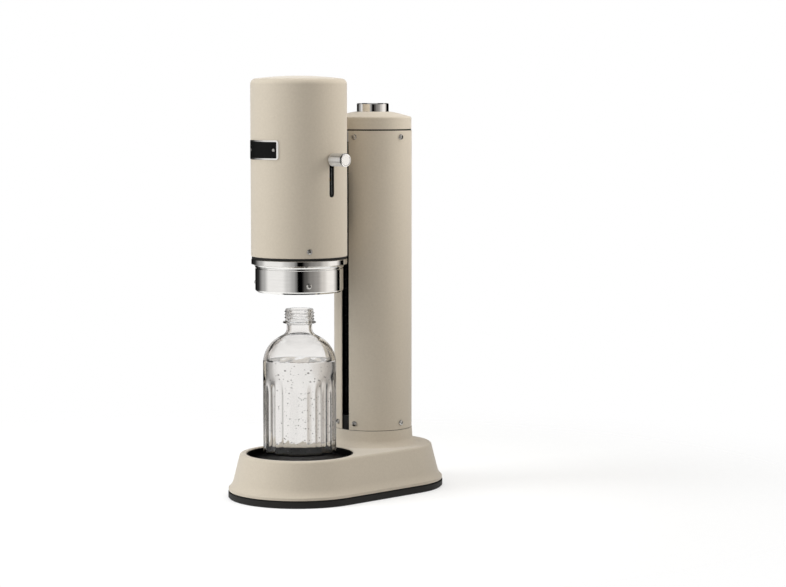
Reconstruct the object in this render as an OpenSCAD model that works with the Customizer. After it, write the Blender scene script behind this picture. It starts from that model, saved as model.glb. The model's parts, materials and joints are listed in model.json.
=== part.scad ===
// Sparkling water maker: a carbonating head slides down a column over a glass bottle.
// Millimetres, +Z up, front towards -Y, lever on the +X side.
// The origin is on the table, midway between the head's axis and the column's axis.

/* [Base] */
// Distance between the head's axis and the column's axis
axis_gap = 124; // [124:1:134]
// Radius of the foot's round ends
foot_r = 87; // [87:0.5:93]
// Height of the rubber foot
foot_h = 9.4; // [8:0.2:11]
// Height of the base's top face
base_h = 54; // [51:0.5:55]
// Lean of the base's side from upright, in degrees
side_draft = 14; // [11:0.5:14]
// Radius of the flare above the foot
flare_r = 17.7; // [14:0.1:19]
// Radius of the base's top edge
edge_r = 3.5; // [3:0.5:5]
// Wall of the base casting
base_wall = 4; // [3:0.25:5]
// Thickness of the steel bottom plate
plate_t = 3; // [2:0.25:4]

/* [Drip tray] */
// Width of the rim from the hole that the tray drops into to the foot's edge
tray_rim = 22; // [22:0.5:26]
// Depth of the tray's floor below the base's top
tray_depth = 8; // [6:0.5:9]
// Wall of the tray
tray_wall = 1.6; // [1.2:0.1:2.2]

/* [Column] */
// Outer radius of the column
col_r = 48.3; // [48.3:0.1:50]
// Sheet thickness of the column's shell
col_t = 1.6; // [1.2:0.1:1.8]
// Length of the column's shell
col_len = 369.4; // [366:0.2:380]
// Width of the slit that the arm runs in
slit_w = 12; // [11.6:0.1:13]
// Height of the collar that the column stands on
collar_h = 20; // [17:0.5:24]
// Radius of the fillet between the collar and the base
collar_fillet = 9; // [6:0.5:9]
// Rise of the cap above its gasket
cap_h = 21.4; // [20:0.2:24]
// Radius of the release button
button_r = 19.8; // [16:0.2:20]
// Height of the button above the cap
button_h = 10.3; // [8:0.1:12]
// Travel of the release button
button_travel = 4; // [3:0.25:4]

/* [Head] */
// Outer radius of the head's shell
head_r = 58; // [58:0.25:60]
// Sheet thickness of the head's shell
head_t = 1.6; // [1.2:0.1:2]
// Length of the head's shell, dome included
head_len = 216.3; // [214:0.1:225]
// Radius of the edge between the wall and the dome
head_edge_r = 7; // [5:0.5:9]
// How far the polished skirt is set in from the head's shell
skirt_step = 4.8; // [4:0.1:4.8]
// Height of the polished skirt
skirt_h = 28.7; // [26:0.1:30]
// How far the polished collar is set in from the head's shell
flange_step = 0.2; // [0:0.1:1]
// Free height between the bottle and the raised head
bay_gap = 20.8; // [20:0.2:26]
// Travel of the head down the column
head_travel = 192; // [190:0.5:194]
// Width of the badge
badge_w = 54.4; // [50:0.2:56]
// Height of the badge
badge_h = 23; // [18:0.5:25]
// Turn of the badge from the head's front, in degrees
badge_aim = -4.3; // [-8:0.1:8]

/* [Lever] */
// Height of the lever above the head's lower edge
lever_up = 116.8; // [115:0.2:117]
// Travel of the lever
lever_travel = 41; // [36:0.5:41]
// Width of the lever's slot
slot_w = 7.6; // [7:0.1:8]
// Radius of the knob
knob_r = 8.1; // [7:0.1:9]
// Length of the knob
knob_len = 23.4; // [20:0.1:26]

/* [Bottle] */
// Height of the bottle
bottle_h = 183.5; // [181:0.1:185]
// How far the bottle's body is set in from the head's shell
bottle_step = 13.7; // [13.5:0.1:15.5]
// Outer radius of the neck
neck_r = 15.3; // [15:0.1:16]
// Inner radius of the mouth
mouth_r = 12.3; // [12.1:0.1:12.5]
// Thickness of the glass in the body
glass_t = 4.5; // [4:0.1:5.5]
// Number of flutes round the body
flute_count = 14; // [10:1:16]
// Depth of a flute
flute_depth = 2; // [1.9:0.1:2.4]

/* [Gas] */
// Radius of the gas cylinder
cyl_r = 30; // [28:0.25:30]
// Length of the gas cylinder's body
cyl_len = 322; // [310:1:325]
// Outer radius of the gas hose
hose_r = 2; // [1.6:0.1:2.2]
// Radius of the carriage's guide rods
rod_r = 4; // [3.5:0.1:4.2]

/* [Hidden] */
$fn = 72;
// Running clearance of a shaft in its bush or bore
run_fit = 0.06;
// Clearance of a screw in its hole
screw_fit = 0.15;
// Gap between parts that only stand next to each other
part_gap = 0.2;

head_y = -axis_gap / 2;
col_y = axis_gap / 2;

base_r = foot_r - 0.5;
lip_z = foot_h + 3;
flare_sweep = 36;
flare_end = side_draft + flare_sweep;
waist_r = base_r - flare_r * (cos(side_draft) - cos(flare_end));
waist_z = lip_z + flare_r * (sin(flare_end) - sin(side_draft));
edge_z = base_h - edge_r + edge_r * sin(side_draft);
edge_c = side_r(edge_z) - edge_r * cos(side_draft);
roof_t = 4.5;
roof_z = base_h - roof_t;
plate_r = foot_r - 3;
foot_in = foot_r - 13;
boss_r = 5;
boss_ring = foot_in - 6;
boss_turn = 49;

tray_r = foot_r - tray_rim;
tray_chamfer = 0.8;
tray_floor = base_h - tray_depth;
tray_t = 2;
ledge_z = tray_floor - tray_t;
ledge_t = 3;
ledge_in = tray_r - 8;
well_wall = 3;

col_z0 = base_h + collar_h;
col_top = col_z0 + col_len;
col_in = col_r - col_t;
collar_r = col_r + 1;
shell_z0 = col_z0 + 0.7;
core_r = col_in - part_gap;
lower_h = 18;
lower_z1 = col_z0 + lower_h;
top_t = 13.4;
top_z0 = col_top - top_t;
bore_r = col_r - 4.3;
gasket_t = 1.8;
cap_z0 = col_top + gasket_t;
cap_top = cap_z0 + cap_h;
cap_r = col_r - 0.4;
cap_t = 3;
cap_edge = 2.5;
cap_bore = button_r + 0.4;
bridge_z = col_top + 6.2;
bridge_t = 3;
bridge_r = col_r - 8.3;
button_z0 = cap_top - 7.1;
flange_t = 2.8;

bottle_r = head_r - bottle_step;
bottle_z0 = tray_floor + 0.1;
bottle_top = bottle_z0 + bottle_h;
heel_r = 7;
shoulder_r = 36.5;
shoulder_sweep = 62;
shoulder_z = bottle_top - 66.6;
neck_fillet = 9;
finish_r = neck_r + 1.6;
bead_r = neck_r + 4.8;
bead_z = bottle_top - 16.4;
foot_glass = 8;
flute_z0 = bottle_z0 + heel_r + 3;
flute_z1 = shoulder_z - 14.9;
flute_foot = 7;
flute_head = 16;

skirt_r = head_r - skirt_step;
flange_r = head_r - flange_step;
skirt_z0 = bottle_top + bay_gap;
skirt_z1 = skirt_z0 + skirt_h;
collar_z0 = skirt_z1 + part_gap;
flange_z0 = collar_z0 + 5.1;
flange_z1 = flange_z0 + 6.1;
head_z0 = flange_z1 + 3.2;
head_top = head_z0 + head_len;
head_in = head_r - head_t;
spigot_z1 = head_z0 + 14.3;
liner_t = 1.5;
liner_in = skirt_r - 4.6;
liner_out = liner_in + liner_t;
liner_z0 = skirt_z0 + 2.6;
liner_z1 = head_z0 + 62;
dome_rise = 3.2;

lever_z = head_z0 + lever_up;
seal_z = bottle_top + head_travel + 0.4;
seal_t = 10;
frame_z0 = seal_z + 18;
frame_t = 4;
plunger_z = seal_z + 32;
plunger_travel = 5;
block_r = 19.8;
block_flange = 7;
block_flange_t = 3.2;
block_z0 = seal_z + seal_t;
block_z1 = seal_z + 48;
nozzle_r = 4;
nozzle_z0 = head_z0 + 6.3;
nozzle_z1 = block_z0 + 14;
slider_x0 = head_in - 10.4;
slider_x1 = head_in - 2.4;
plunger_tip = slider_x0 - 9;
plunger_r = 3.95;
plunger_collar = 6.4;
slider_w = 22;
slider_h = 20;
wedge_w = 7;
wedge_slope = plunger_travel / lever_travel;
wedge_gap = 0.3;
guide_r = 2;
guide_x = head_in - 6.4;
guide_y = 7.5;
stem_r = slot_w / 2 - 0.6;
knob_x0 = head_r + 1.2;
badge_z = lever_z + 11.5;
badge_turn = asin((badge_w / 2 - 5.8) / head_r);
badge_angles = [badge_aim - badge_turn, badge_aim + badge_turn];
feed_r = 2;
feed_bend = 6;
feed_y = head_in - 9.4;
feed_z = plunger_z + 10;

rod_x = 18;
rod_y = -29;
cyl_y = 13;
cyl_z0 = 14;
cyl_wall = 3.5;
bush_r = rod_r + 2;
bush_l = 14;
carr_z0 = head_z0 + 24.3;
carr_h = 82;
carr_x = 26;
carr_y0 = -37;
carr_y1 = -21;
arm_t = slit_w - 1.2;
slit_break = 1;
arm_z0 = carr_z0 + 8;
arm_h = 66;
saddle_t = 3.5;
saddle_w = 32;
gas_z = carr_z0 + 66;

latch_y = -11;
latch_x0 = 31;
latch_x1 = 41.2;
bolt_z0 = carr_z0 - head_travel + 5;
bolt_h = 6;
bolt_w = 7;
bolt_x0 = 27.2;
bolt_travel = 2.6;
bolt_slope = bolt_travel / button_travel;
ear_h = 4.6;
release_x = 35;
release_r = 2;
wedge_x0 = 35.5;

valve_z0 = cyl_z0 + cyl_len;
valve_z1 = valve_z0 + 37;
socket_z0 = valve_z0 + 16;
socket_r = 16;
port_z = valve_z1 + 11;
hose_bend = 16;
hose_leg = 38;
port_len = hose_leg - hose_bend;
port_turn = 211.4;
leg_x = hose_leg * cos(port_turn);
leg_y = cyl_y + hose_leg * sin(port_turn);
fit_x = -3;
fit_y = -25.5;
loop_z = carr_z0 - 107;
loop_r = norm([fit_x - leg_x, fit_y - leg_y]) / 2;
loop_turn = atan2(fit_y - leg_y, fit_x - leg_x);

column_angles = [-91, -17.5, 17.5, 91];
head_angles = [-60, 60, 180];

paint = [0.80, 0.75, 0.66];
chrome = [0.82, 0.83, 0.85];
steel = [0.62, 0.63, 0.65];
black = [0.09, 0.09, 0.10];
brass = [0.74, 0.60, 0.30];
alu = [0.70, 0.71, 0.73];
rubber = [0.14, 0.14, 0.15];
clear = [0.80, 0.90, 0.92];
bronze = [0.60, 0.42, 0.22];

// Radius of the base's side at a height
function side_r(z) = waist_r - (z - waist_z) * tan(side_draft);

// Points on an arc, from one angle to another
function arc(c, r, a0, a1, n) =
  [for (i = [0:n]) let(a = a0 + (a1 - a0) * i / n) [c[0] + r * cos(a), c[1] + r * sin(a)]];

// Height of the dome's outside, under the crown of the head
function dome_z(r) = head_top - dome_rise * pow(r / (head_r - head_edge_r), 2);

module at_head() translate([0, head_y, 0]) children();

module at_column() translate([0, col_y, 0]) children();

// Sets a child that points along +Z so that it points outward at an angle from the front
module radial(a, r, z) rotate([0, 0, a]) translate([0, -r, z]) rotate([90, 0, 0]) children();

module tube(r_out, r_in, z0, z1) {
  difference() {
    translate([0, 0, z0]) cylinder(r = r_out, h = z1 - z0);
    translate([0, 0, z0 - 1]) cylinder(r = r_in, h = z1 - z0 + 2);
  }
}

module disc(r, z0, z1) translate([0, 0, z0]) cylinder(r = r, h = z1 - z0);

// Carries a profile round both axes, with straight sides between them
module obround(profile) {
  at_column() rotate_extrude(angle = 180) polygon(profile);
  at_head() rotate([0, 0, 180]) rotate_extrude(angle = 180) polygon(profile);
  at_column() rotate([90, 0, 0]) linear_extrude(axis_gap) polygon(profile);
  at_column() mirror([1, 0, 0]) rotate([90, 0, 0]) linear_extrude(axis_gap) polygon(profile);
}

// A domed screw with a hexagon socket, its head's seat at z = 0
module dome_screw(r, h, shank, depth) {
  difference() {
    rotate_extrude() polygon(concat(
      [[0, -depth], [shank, -depth], [shank, 0], [r, 0]],
      [for (a = [0:30:60]) [r * cos(a), h * (0.35 + 0.65 * sin(a))]],
      [[0, h]]
    ));
    translate([0, 0, h * 0.5]) cylinder(r = r * 0.48, h = h, $fn = 6);
  }
}

// Closes rings of points, all with the same number of sides, into one tube
module skin(points, sides) {
  n = len(points) / sides - 1;
  walls = [for (i = [0:n - 1], j = [0:sides - 1], k = [0, 1])
    let(p = i * sides + j, q = i * sides + (j + 1) % sides)
    k == 0 ? [p, q, q + sides] : [p, q + sides, p + sides]];
  first = [for (j = [sides - 1:-1:0]) j];
  last = [for (j = [0:sides - 1]) n * sides + j];
  polyhedron(points, concat(walls, [first, last]), convexity = 10);
}

// Points on the middle of a wound spring's wire
function coil_line(r, wire, turns, h) = let(per = 8, n = turns * per)
  [for (i = [0:n]) let(a = 360 * i / per) [r * cos(a), r * sin(a), wire + (h - 2 * wire) * i / n]];

// Least clear gap between a wound spring's turns, measured on those points
function coil_gap(line, wire) =
  min([for (i = [0:len(line) - 1], j = [i + 4:1:len(line) - 1]) norm(line[i] - line[j])]) - 2 * wire;

// A wound spring on +Z, from z = 0 to its height
module coil(r, wire, turns, h) {
  per = 8;
  sides = 6;
  n = turns * per;
  skin([for (i = [0:n], j = [0:sides - 1])
    let(a = 360 * i / per, b = 360 * j / sides, z = wire + (h - 2 * wire) * i / n)
    [(r + wire * cos(b)) * cos(a), (r + wire * cos(b)) * sin(a), z + wire * sin(b)]], sides);
}

module base_solid() {
  obround(concat(
    [[0, foot_h], [base_r, foot_h]],
    arc([waist_r + flare_r * cos(side_draft), waist_z + flare_r * sin(side_draft)],
      flare_r, 180 + flare_end, 180 + side_draft, 10),
    arc([edge_c, base_h - edge_r], edge_r, side_draft, 90, 8),
    [[0, base_h]]
  ));
  at_column() rotate_extrude() polygon(concat(
    [[bore_r - 2, base_h - 2], [collar_r + collar_fillet, base_h - 2]],
    arc([collar_r + collar_fillet, base_h + collar_fillet], collar_fillet, 270, 180, 10),
    [[col_r + 0.3, col_z0], [bore_r - 2, col_z0]]
  ));
}

// Places of the screws that hold the bottom plate, three on each side
module base_bosses() {
  for (sx = [-1, 1], sy = [-1, 0, 1]) {
    a = sy == 0 ? 0 : boss_turn;
    translate([sx * boss_ring * cos(a), sy * (col_y + boss_ring * sin(a)), 0]) children();
  }
}

module base_cavity() {
  difference() {
    obround([[0, foot_h - 1], [waist_r - base_wall, foot_h - 1], [waist_r - base_wall, waist_z],
      [side_r(roof_z) - base_wall, roof_z], [0, roof_z]]);
    at_head() disc(tray_r + well_wall, ledge_z - ledge_t, base_h);
    base_bosses() disc(boss_r, foot_h, base_h);
  }
}

module base_casting() {
  color(paint) difference() {
    base_solid();
    base_cavity();
    at_head() disc(tray_r, ledge_z, base_h + 1);
    at_head() translate([0, 0, base_h - tray_chamfer])
      cylinder(r1 = tray_r, r2 = tray_r + 2 * tray_chamfer, h = 2 * tray_chamfer);
    at_head() disc(ledge_in, ledge_z - ledge_t - 1, base_h + 1);
    at_column() disc(bore_r, roof_z - 1, col_z0 + 1);
    base_bosses() disc(2 + screw_fit, foot_h - 1, foot_h + 12);
  }
}

module foot_ring() {
  color(rubber) obround([
    [foot_in, 0], [foot_r - 1.5, 0], [foot_r, 1.5], [foot_r, foot_h - 1.9], [foot_r - 0.5, foot_h - 1.4],
    [foot_r - 1.9, foot_h - 1.4], [foot_r - 1.9, foot_h], [plate_r + part_gap, foot_h],
    [plate_r + part_gap, foot_h - plate_t], [foot_in, foot_h - plate_t]
  ]);
}

module base_plate() {
  color(steel) difference() {
    obround([[0, foot_h - plate_t], [plate_r, foot_h - plate_t], [plate_r, foot_h], [0, foot_h]]);
    translate([0, col_y + cyl_y, 0]) disc(cyl_r + 3, 0, foot_h + 1);
    base_bosses() disc(2 + screw_fit, 0, foot_h + 1);
  }
}

module base_screws() {
  color(steel) base_bosses() translate([0, 0, foot_h - plate_t])
    rotate([180, 0, 0]) dome_screw(3.8, 2.2, 2, plate_t + 8);
}

module drip_tray() {
  r = tray_r - 0.3;
  color(black) at_head() rotate_extrude() polygon([
    [0, ledge_z], [r, ledge_z], [r, base_h - 1], [r - tray_wall, base_h - 1],
    [r - tray_wall, tray_floor + 1.5], [r - tray_wall - 1.5, tray_floor], [0, tray_floor]
  ]);
}

module column_shell() {
  color(paint) at_column() difference() {
    tube(col_r, col_in, shell_z0, col_top);
    translate([-slit_w / 2, -col_r - 1, col_z0 - 1]) cube([slit_w, col_r, col_len + 2]);
    for (s = [-1, 1]) {
      translate([s * slit_w / 2, -sqrt(col_r * col_r - slit_w * slit_w / 4), col_z0 - 1])
        rotate([0, 0, 45]) translate([-slit_break / 2, -slit_break / 2, 0])
          cube([slit_break, slit_break, col_len + 2]);
    }
    for (a = column_angles, z = [col_z0 + 8.8, col_top - 7.6]) {
      radial(a, col_r - 5, z) cylinder(r = 1.8 + screw_fit, h = 10);
    }
  }
}

module column_screws() {
  color(steel) at_column() for (a = column_angles, z = [col_z0 + 8.8, col_top - 7.6]) {
    radial(a, col_r + 0.02, z) dome_screw(3.4, 2, 1.8, 7);
  }
}

module lower_ring() {
  color(rubber) at_column() difference() {
    disc(core_r, col_z0, lower_z1);
    translate([0, cyl_y, 0]) disc(cyl_r + 1, col_z0 - 1, lower_z1 + 1);
    for (s = [-1, 1]) {
      translate([s * rod_x, rod_y, 0]) disc(rod_r + 0.05, col_z0 + 6, lower_z1 + 1);
    }
    for (a = column_angles) {
      radial(a, core_r - 7, col_z0 + 8.8) cylinder(r = 1.8 + screw_fit, h = 10);
    }
  }
}

module top_plate() {
  color(alu) at_column() difference() {
    union() {
      disc(core_r, top_z0, col_top);
      tube(col_r - 3.6, col_r - 6.3, col_top - 1, col_top + 5);
    }
    for (s = [-1, 1]) {
      translate([s * rod_x, rod_y, 0]) disc(rod_r + 0.05, top_z0 - 1, top_z0 + 8);
    }
    translate([release_x, latch_y, 0]) disc(release_r + 0.4, top_z0 - 1, col_top + 1);
    for (a = column_angles) {
      radial(a, core_r - 7, col_top - 7.6) cylinder(r = 1.8 + screw_fit, h = 10);
    }
  }
}

module guide_rods() {
  color(chrome) at_column() for (s = [-1, 1]) {
    translate([s * rod_x, rod_y, 0]) disc(rod_r, col_z0 + 6.1, top_z0 + 7.9);
  }
}

module column_cap() {
  edge_z1 = cap_top - 8.4;
  color(paint) at_column() rotate_extrude() polygon(concat(
    [[cap_r - cap_t, cap_z0], [cap_r, cap_z0]],
    arc([cap_r - cap_edge, edge_z1], cap_edge, 0, 75, 8),
    [[col_r - 9.5, cap_top - 4], [col_r - 15.3, cap_top - 2.4], [col_r - 22, cap_top - 0.9],
      [cap_bore + 1, cap_top - 0.1], [cap_bore, cap_top - 0.9], [cap_bore, cap_top - cap_t],
      [col_r - 22, cap_top - 0.9 - cap_t], [col_r - 15.3, cap_top - 2.4 - cap_t],
      [col_r - 9.5, cap_top - 4 - cap_t], [cap_r - cap_t, edge_z1]]
  ));
}

module cap_gasket() {
  color(rubber) at_column() tube(cap_r - 0.3, col_r - 3.4, col_top, cap_z0);
}

module gas_cylinder() {
  inner = cyl_r - cyl_wall;
  color(alu) at_column() translate([0, cyl_y, 0]) rotate_extrude() polygon(concat(
    [[0, cyl_z0 + 6], [cyl_r - 12, cyl_z0 + 4], [cyl_r - 7, cyl_z0], [cyl_r - 4, cyl_z0],
      [cyl_r, cyl_z0 + 5]],
    arc([cyl_r - 18, valve_z0 - 32], 18, 0, 70, 6),
    [[13, valve_z0 - 10], [13, valve_z0], [6, valve_z0], [6, valve_z0 - 14]],
    arc([cyl_r - 18, valve_z0 - 32], 18 - cyl_wall, 70, 0, 6),
    [[inner, cyl_z0 + 12], [inner - 5, cyl_z0 + 10], [0, cyl_z0 + 11]]
  ));
}

module cylinder_valve() {
  color(brass) at_column() translate([0, cyl_y, 0]) {
    disc(12.5, valve_z0, valve_z0 + 12, $fn = 6);
    disc(10.8, valve_z0 + 12, valve_z1 - 3);
    disc(5, valve_z1 - 3, valve_z1);
  }
}

module valve_socket() {
  color(brass) at_column() translate([0, cyl_y, 0]) difference() {
    union() {
      disc(socket_r, socket_z0, port_z + 8);
      disc(10, port_z + 8, top_z0);
      rotate([0, 0, port_turn]) translate([0, 0, port_z]) rotate([0, 90, 0])
        cylinder(r = 5, h = port_len - 3);
    }
    disc(10.8 + part_gap, socket_z0 - 1, valve_z1 + 1);
    disc(1.5, valve_z1, port_z);
    rotate([0, 0, port_turn]) translate([0, 0, port_z]) rotate([0, 90, 0]) cylinder(r = 1.5, h = port_len);
  }
}

// Turns a point about a level axis through the origin
function turn(v, axis, a) = v * cos(a) + cross(axis, v) * sin(a) + axis * (axis * v) * (1 - cos(a));

module gas_hose() {
  sides = 8;
  port = [cos(port_turn), sin(port_turn), 0];
  loop = [cos(loop_turn), sin(loop_turn), 0];
  port_axis = [port[1], -port[0], 0];
  loop_axis = [loop[1], -loop[0], 0];
  elbow = [0, cyl_y, port_z - hose_bend] + port * port_len;
  mid = [(leg_x + fit_x) / 2, (leg_y + fit_y) / 2, loop_z];
  rings = concat(
    [[elbow + [0, 0, hose_bend] - port * 2.9, port_axis, 90]],
    [for (a = [90:-15:0]) [elbow + (port * cos(a) + [0, 0, sin(a)]) * hose_bend, port_axis, a]],
    [for (a = [0:15:180]) [mid - (loop * cos(a) + [0, 0, sin(a)]) * loop_r, loop_axis, a]],
    [[[fit_x, fit_y, carr_z0], loop_axis, 180]]
  );
  color(black) at_column() skin([for (g = rings, j = [0:sides - 1])
    let(b = 360 * j / sides) g[0] + turn([hose_r * cos(b), hose_r * sin(b), 0], g[1], g[2])], sides);
}

module lift_springs() {
  h = carr_z0 - lower_z1;
  echo(lift_spring_gap = coil_gap(coil_line(rod_r + 2.4, 0.8, 20, h), 0.8));
  color(steel) at_column() for (s = [-1, 1]) {
    translate([s * rod_x, rod_y, lower_z1]) coil(rod_r + 2.4, 0.8, 20, h);
  }
}

module latch_post() {
  w = bolt_w + 5.4;
  color(alu) at_column() difference() {
    translate([latch_x0, latch_y - w / 2, lower_z1])
      cube([latch_x1 - latch_x0, w, bolt_z0 + bolt_h + 5 - lower_z1]);
    translate([latch_x0 - 1, latch_y - bolt_w / 2 - 0.1, bolt_z0 - 0.1])
      cube([20, bolt_w + 0.2, bolt_h + 0.2]);
    translate([release_x, latch_y, 0]) disc(release_r + 0.3, bolt_z0 - 12, bolt_z0 + bolt_h + 6);
  }
}

module latch_spring() {
  color(steel) at_column() translate([latch_x1, latch_y - 2.5, lower_z1 + 4])
    cube([0.6, 5, bolt_z0 + bolt_h - lower_z1 - 4]);
}

module button_spring() {
  color(steel) at_column() translate([0, 0, col_top]) coil(14, 0.35, 2, bridge_z - col_top);
}

module release_button() {
  color(chrome) at_column() rotate_extrude() polygon([
    [0, button_z0], [button_r + 3.6, button_z0], [button_r + 3.6, button_z0 + flange_t],
    [button_r, button_z0 + flange_t], [button_r, cap_top + button_h - 1.2],
    [button_r - 0.4, cap_top + button_h - 0.4], [button_r - 1.2, cap_top + button_h],
    [0, cap_top + button_h]
  ]);
}

module button_bridge() {
  color(alu) at_column() {
    disc(bridge_r, bridge_z, bridge_z + bridge_t);
    disc(8, bridge_z + bridge_t, button_z0);
  }
}

module release_rod() {
  z_low = bolt_z0 - 6;
  z_high = bolt_z0 + 10;
  face = wedge_x0 - 0.3;
  color(steel) at_column() difference() {
    translate([release_x, latch_y, 0]) disc(release_r, z_low + 0.5, bridge_z);
    translate([0, latch_y, 0]) rotate([90, 0, 0]) linear_extrude(10, center = true) polygon([
      [face + (z_low - bolt_z0) * bolt_slope, z_low], [face + (z_high - bolt_z0) * bolt_slope, z_high],
      [wedge_x0 + 12, z_high], [wedge_x0 + 12, z_low]
    ]);
  }
}

module latch_bolt() {
  z1 = bolt_z0 + bolt_h;
  color(steel) at_column() translate([0, latch_y, 0]) rotate([90, 0, 0]) difference() {
    linear_extrude(bolt_w, center = true) polygon([
      [bolt_x0, bolt_z0], [bolt_x0, bolt_z0 + 3.5], [bolt_x0 + 2, z1], [latch_x1, z1], [latch_x1, bolt_z0]
    ]);
    linear_extrude(release_r * 2 + 0.6, center = true) polygon([
      [bolt_x0 + 2.6, bolt_z0 - 1], [bolt_x0 + 2.6, z1 + 1],
      [wedge_x0 + (bolt_h + 1) * bolt_slope, z1 + 1], [wedge_x0 - bolt_slope, bolt_z0 - 1]
    ]);
  }
}

module carriage_block() {
  color(black) at_column() difference() {
    union() {
      translate([-carr_x, carr_y0, carr_z0]) cube([carr_x * 2, carr_y1 - carr_y0, carr_h]);
      translate([carr_x - 1, carr_y1 - 2, carr_z0]) cube([4.2, 15, ear_h]);
    }
    for (s = [-1, 1]) {
      translate([s * rod_x, rod_y, 0]) disc(bush_r, carr_z0 - 1, carr_z0 + bush_l);
      translate([s * rod_x, rod_y, 0]) disc(rod_r + 0.5, carr_z0 - 1, carr_z0 + carr_h + 1);
      translate([s * rod_x, rod_y, 0]) disc(bush_r, carr_z0 + carr_h - bush_l, carr_z0 + carr_h + 1);
    }
    translate([-arm_t / 2, carr_y0 - 1, arm_z0]) cube([arm_t, 7, arm_h]);
    translate([fit_x, fit_y, 0]) disc(1.2, carr_z0 - 1, gas_z);
    translate([fit_x, fit_y, gas_z]) rotate([90, 0, 0]) cylinder(r = 1.2, h = 8);
  }
}

module carriage_bushes() {
  color(bronze) at_column() for (s = [-1, 1], z = [carr_z0, carr_z0 + carr_h - bush_l]) {
    translate([s * rod_x, rod_y, 0]) tube(bush_r - 0.03, rod_r + run_fit, z, z + bush_l);
  }
}

module carriage_arm() {
  front = head_y + head_r;
  color(black) difference() {
    union() {
      intersection() {
        at_head() tube(head_r + saddle_t + 0.05, head_r + 0.05, arm_z0 - 4, arm_z0 + arm_h + 4);
        translate([-saddle_w / 2, front - 8, arm_z0 - 4]) cube([saddle_w, 20, arm_h + 8]);
      }
      translate([-arm_t / 2, front + saddle_t - 1.2, arm_z0])
        cube([arm_t, col_y + carr_y0 + 6 - front - saddle_t + 1.2, arm_h]);
    }
    translate([-3, col_y + carr_y0 + 7, gas_z]) rotate([90, 0, 0]) cylinder(r = 1.2, h = 60);
    arm_holes(head_r + 12) cylinder(r = 1.8 + screw_fit, h = 30, center = true);
  }
}

// Places of the screws that hold the saddle to the head
module arm_holes(r) {
  at_head() for (a = [169.5, 190.5], z = [arm_z0 + 9, arm_z0 + arm_h - 9]) {
    radial(a, r, z) children();
  }
}

module arm_screws() {
  color(steel) arm_holes(head_r + saddle_t + 0.07) dome_screw(3.4, 2, 1.8, 8);
}

module head_shell() {
  wall_z = head_top - dome_rise - head_edge_r;
  edge = head_r - head_edge_r;
  outer = concat(
    [[head_r - 0.5, head_z0], [head_r, head_z0 + 0.5]],
    arc([edge, wall_z], head_edge_r, 0, 80, 10),
    [for (k = [9:-1:0]) [edge * k / 10, dome_z(edge * k / 10)]]
  );
  inner = concat(
    [for (k = [0:9]) [edge * k / 10, dome_z(edge * k / 10) - head_t]],
    arc([edge, wall_z], head_edge_r - head_t, 80, 0, 6),
    [[head_in, head_z0]]
  );
  color(paint) at_head() difference() {
    rotate_extrude() polygon(concat(outer, inner));
    translate([0, -slot_w / 2, lever_z - lever_travel]) cube([head_r + 2, slot_w, lever_travel]);
    for (z = [lever_z - lever_travel, lever_z]) {
      translate([head_r - 10, 0, z]) rotate([0, 90, 0]) cylinder(r = slot_w / 2, h = 20);
    }
    for (a = head_angles) {
      radial(a, head_r - 5, head_z0 + 8.3) cylinder(r = 1.8 + screw_fit, h = 10);
    }
    for (a = badge_angles) {
      radial(a, head_r - 5, badge_z) cylinder(r = 1.3, h = 10);
    }
    translate([0, 0, gas_z]) rotate([-90, 0, 0]) cylinder(r = 3, h = head_r + 5);
    translate([0, -head_y, 0]) arm_holes(head_r) cylinder(r = 1.8 + screw_fit, h = 20, center = true);
  }
}

module head_gasket() {
  color(rubber) at_head() tube(head_r - 0.9, head_in - 1.35, flange_z1, head_z0);
}

module polished_collar() {
  groove_in = 1.2;
  sweep_z = collar_z0 + 1.1;
  sweep_h = flange_z0 - sweep_z;
  color(chrome) at_head() difference() {
    rotate_extrude() polygon(concat(
      [[liner_out + 0.05, collar_z0], [skirt_r - groove_in, collar_z0], [skirt_r - groove_in, sweep_z - 0.3]],
      [for (a = [0:11.25:90]) [flange_r - (flange_r - skirt_r - 0.1) * cos(a), sweep_z + sweep_h * sin(a)]],
      [[flange_r, flange_z0 + 0.4], [flange_r, flange_z1 - 0.5], [flange_r - 0.5, flange_z1],
        [head_in - 1.4, flange_z1], [head_in - 1.4, head_z0 + 0.5], [head_in - 0.1, head_z0 + 1],
        [head_in - 0.1, spigot_z1], [liner_out + 0.05, spigot_z1]]
    ));
    for (a = head_angles) {
      radial(a, head_r - 9, head_z0 + 8.3) cylinder(r = 1.8 + screw_fit, h = 20);
    }
  }
}

module polished_skirt() {
  color(chrome) at_head() difference() {
    rotate_extrude() polygon([
      [liner_in, skirt_z0], [skirt_r - 3.4, skirt_z0], [skirt_r - 0.6, skirt_z0 + 1.9],
      [skirt_r, skirt_z0 + 3],
      [skirt_r, skirt_z1 - 0.5], [skirt_r - 0.5, skirt_z1], [liner_out + 0.05, skirt_z1],
      [liner_out + 0.05, liner_z0], [liner_in, liner_z0]
    ]);
    for (a = head_angles) {
      radial(a, skirt_r - 6, skirt_z0 + 10.3) cylinder(r = 1.5 + screw_fit, h = 20);
    }
  }
}

module chamber_liner() {
  color(steel) at_head() difference() {
    tube(liner_out, liner_in, liner_z0, liner_z1 - 2.2);
    for (a = head_angles) {
      radial(a, skirt_r - 6, skirt_z0 + 10.3) cylinder(r = 1.5 + screw_fit, h = 20);
    }
  }
}

module guide_ring() {
  color(alu) at_head() difference() {
    tube(head_in - part_gap, liner_out + 0.05, liner_z1 - 4, liner_z1);
    for (s = [-1, 1]) {
      translate([guide_x, s * guide_y, 0]) disc(guide_r + 0.05, liner_z1 - 2, liner_z1 + 1);
    }
    translate([-saddle_w / 2 - 1, liner_out - 10, liner_z1 - 5]) cube([saddle_w + 2, 20, 6]);
  }
}

module head_screws() {
  color(steel) at_head() for (a = head_angles) {
    radial(a, head_r + 0.02, head_z0 + 8.3) dome_screw(3.4, 2, 1.8, 6);
  }
}

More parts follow.
